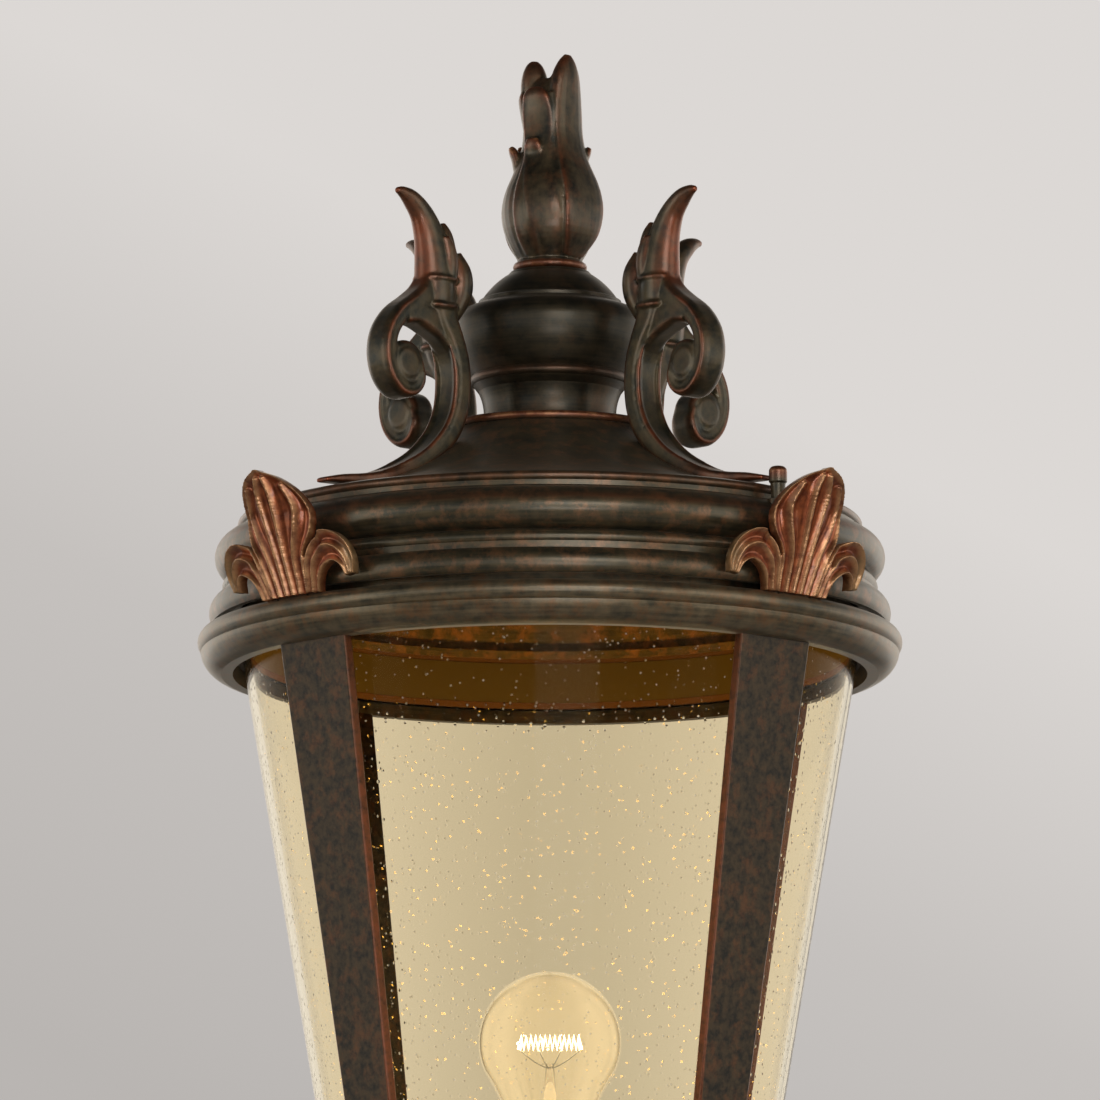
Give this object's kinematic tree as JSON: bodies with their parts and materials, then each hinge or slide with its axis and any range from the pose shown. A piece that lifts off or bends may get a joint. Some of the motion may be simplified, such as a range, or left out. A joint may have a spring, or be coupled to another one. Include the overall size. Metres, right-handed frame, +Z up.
{
  "type": "outdoor lamp post",
  "caption": "Garden lamp post: round tapered lantern with seeded amber glass, leaf and scroll ornament, lift-off roof and bud finial on a plain column with a bolt-down base.",
  "frame": {"origin": "centre of the base flange's underside, on the ground and on the column's axis", "axes": "+Z up along the column, +X to the right of the viewer who faces the lantern, -Y towards them"},
  "size_m": [0.297, 0.297, 2.3031],
  "materials": {
    "bronze": "cast aluminium in a weathered dark bronze patina with copper rub on its edges, satin",
    "copper_leaf": "cast aluminium in a red copper patina with pale worn edges, satin",
    "amber_glass": "pale amber seeded glass, gloss",
    "clear_glass": "clear, gloss",
    "filament": "glass stem and wire",
    "porcelain": "gloss",
    "brass": "satin",
    "steel": "satin zinc plate",
    "silicone": "matte",
    "terminal": "matte"
  },
  "bodies": {
    "post": {"base_casting": "bronze", "column": "bronze", "post_fitter": "bronze", "lantern_bowl": "bronze", "lower_ring": "bronze", "upper_ring": "bronze", "upright_1": "bronze", "upright_2": "bronze", "upright_3": "bronze", "upright_4": "bronze", "leaf_1": "copper_leaf", "leaf_2": "copper_leaf", "leaf_3": "copper_leaf", "leaf_4": "copper_leaf", "glass_shade": "amber_glass", "bulb_glass": "clear_glass", "bulb_stem": "filament", "lampholder_body": "porcelain", "bulb_cap": "brass", "lampholder_sleeve": "brass", "lampholder_contact": "brass", "stem_nut_lower": "brass", "stem_nut_upper": "brass", "stem_pipe": "steel", "base_set_screws": "steel", "fitter_set_screws": "steel", "ring_screws": "steel", "earth_screw": "steel", "upright_screws_upper": "steel", "upright_screws_lower": "steel", "floor_plate": "steel", "glass_gasket_lower": "silicone", "glass_gasket_upper": "silicone", "roof_seal": "silicone", "terminal_block": "terminal"},
    "roof": {"roof": "bronze", "crown": "bronze", "finial": "bronze", "tie_rod": "steel", "tie_washer": "steel", "tie_nut": "steel", "scroll_screws": "steel", "scroll_1": "bronze", "scroll_2": "bronze", "scroll_3": "bronze", "scroll_4": "bronze"},
    "thumbscrew_front": {"thumbscrew_front": "brass"},
    "thumbscrew_rear": {"thumbscrew_rear": "brass"}
  },
  "joints": [
    {"name": "roof_lift", "type": "slide", "parent": "post", "child": "roof", "axis": [0, 0, 1], "range_m": [0, 0.12]},
    {"name": "thumbscrew_front_turn", "type": "hinge", "parent": "roof", "child": "thumbscrew_front", "pos_m": [0.09723, -0.09723, 2.1], "axis": [0, 0, 1], "continuous": true},
    {"name": "thumbscrew_rear_turn", "type": "hinge", "parent": "roof", "child": "thumbscrew_rear", "pos_m": [-0.09723, 0.09723, 2.1], "axis": [0, 0, 1], "continuous": true}
  ]
}
